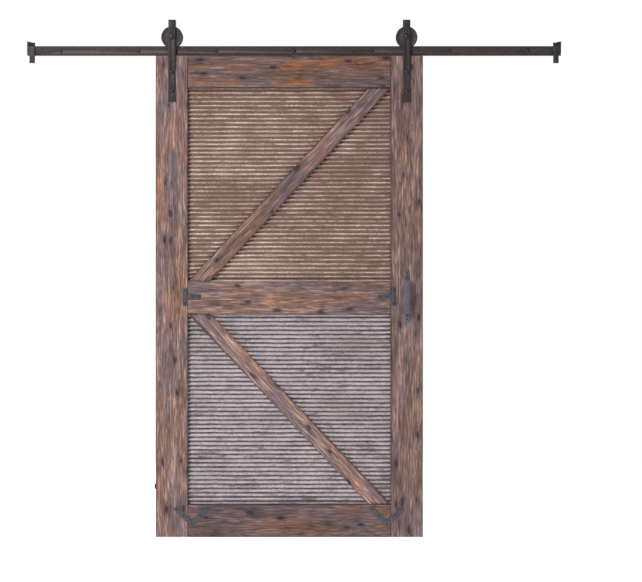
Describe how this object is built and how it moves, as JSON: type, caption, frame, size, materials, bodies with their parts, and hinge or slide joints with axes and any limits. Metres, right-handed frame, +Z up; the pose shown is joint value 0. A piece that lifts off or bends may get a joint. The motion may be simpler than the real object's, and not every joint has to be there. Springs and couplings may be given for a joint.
{
  "type": "sliding barn door",
  "caption": "Framed wooden barn door with corrugated metal panels, hung by strap hangers and grooved wheels on a flat wall-mounted rail.",
  "frame": {"origin": "on the wall plane, at the middle of the rail's length and height", "axes": "+X along the rail to the right, +Y into the wall, +Z up; the door's face looks towards -Y"},
  "size_m": [2.4384, 0.1503, 2.362],
  "materials": {
    "rail_paint": "worn dark brown-black paint on a flat steel bar",
    "blackened_steel": "matte black finish on steel, slightly worn at the edges",
    "wheel_iron": "mottled dark cast surface",
    "zinc": "zinc plated",
    "bearing_steel": "ground steel",
    "rubber": "black rubber",
    "frame_wood": "distressed brown and mauve stain with worn tan streaks",
    "batten_wood": "plain aged softwood",
    "corrugated_steel": "weathered galvanised sheet with rust staining",
    "plate_iron": "blue-grey worn iron"
  },
  "bodies": {
    "track": {"track_rail": "rail_paint", "wall_spacer_1": "blackened_steel", "wall_spacer_2": "blackened_steel", "wall_spacer_3": "blackened_steel", "wall_spacer_4": "blackened_steel", "wall_spacer_5": "blackened_steel", "wall_spacer_6": "blackened_steel", "wall_spacer_7": "blackened_steel", "lag_bolt_1": "blackened_steel", "lag_bolt_2": "blackened_steel", "lag_bolt_3": "blackened_steel", "lag_bolt_4": "blackened_steel", "lag_bolt_5": "blackened_steel", "lag_bolt_6": "blackened_steel", "lag_bolt_7": "blackened_steel", "end_stop_left": "wheel_iron", "stop_bumper_left": "rubber", "stop_bolt_left": "blackened_steel", "stop_nut_left": "blackened_steel", "end_stop_right": "wheel_iron", "stop_bumper_right": "rubber", "stop_bolt_right": "blackened_steel", "stop_nut_right": "blackened_steel"},
    "door": {"hanger_strap_left": "blackened_steel", "axle_bolt_left": "blackened_steel", "axle_nut_left": "zinc", "t_plate_left": "plate_iron", "corner_bracket_left": "plate_iron", "left_stile": "frame_wood", "upper_batten_left": "batten_wood", "lower_batten_left": "batten_wood", "hanger_strap_right": "blackened_steel", "axle_bolt_right": "blackened_steel", "axle_nut_right": "zinc", "t_plate_right": "plate_iron", "corner_bracket_right": "plate_iron", "right_stile": "frame_wood", "upper_batten_right": "batten_wood", "lower_batten_right": "batten_wood", "top_rail": "frame_wood", "mid_rail": "frame_wood", "bottom_rail": "frame_wood", "upper_brace": "frame_wood", "lower_brace": "frame_wood", "upper_sheet": "corrugated_steel", "lower_sheet": "corrugated_steel", "pull_handle": "plate_iron", "edge_stud": "rubber", "strap_bolt_1": "blackened_steel", "strap_nut_1": "zinc", "strap_bolt_2": "blackened_steel", "strap_nut_2": "zinc", "strap_bolt_3": "blackened_steel", "strap_nut_3": "zinc", "strap_bolt_4": "blackened_steel", "strap_nut_4": "zinc"},
    "wheel_left": {"wheel_left": "wheel_iron", "wheel_bearing_left": "bearing_steel"},
    "wheel_right": {"wheel_right": "wheel_iron", "wheel_bearing_right": "bearing_steel"}
  },
  "joints": [
    {"name": "door_slide", "type": "slide", "parent": "track", "child": "door", "axis": [1, 0, 0], "range_m": [-0.583, 0.626]},
    {"name": "wheel_left_spin", "type": "hinge", "parent": "door", "child": "wheel_left", "pos_m": [-0.5572, -0.038, 0.062], "axis": [0, 1, 0], "continuous": true},
    {"name": "wheel_right_spin", "type": "hinge", "parent": "door", "child": "wheel_right", "pos_m": [0.514, -0.038, 0.062], "axis": [0, 1, 0], "continuous": true}
  ],
  "couplings": [
    {"joint": "wheel_left_spin", "follows": "door_slide", "rad_per_m": 25},
    {"joint": "wheel_right_spin", "follows": "door_slide", "rad_per_m": 25}
  ]
}
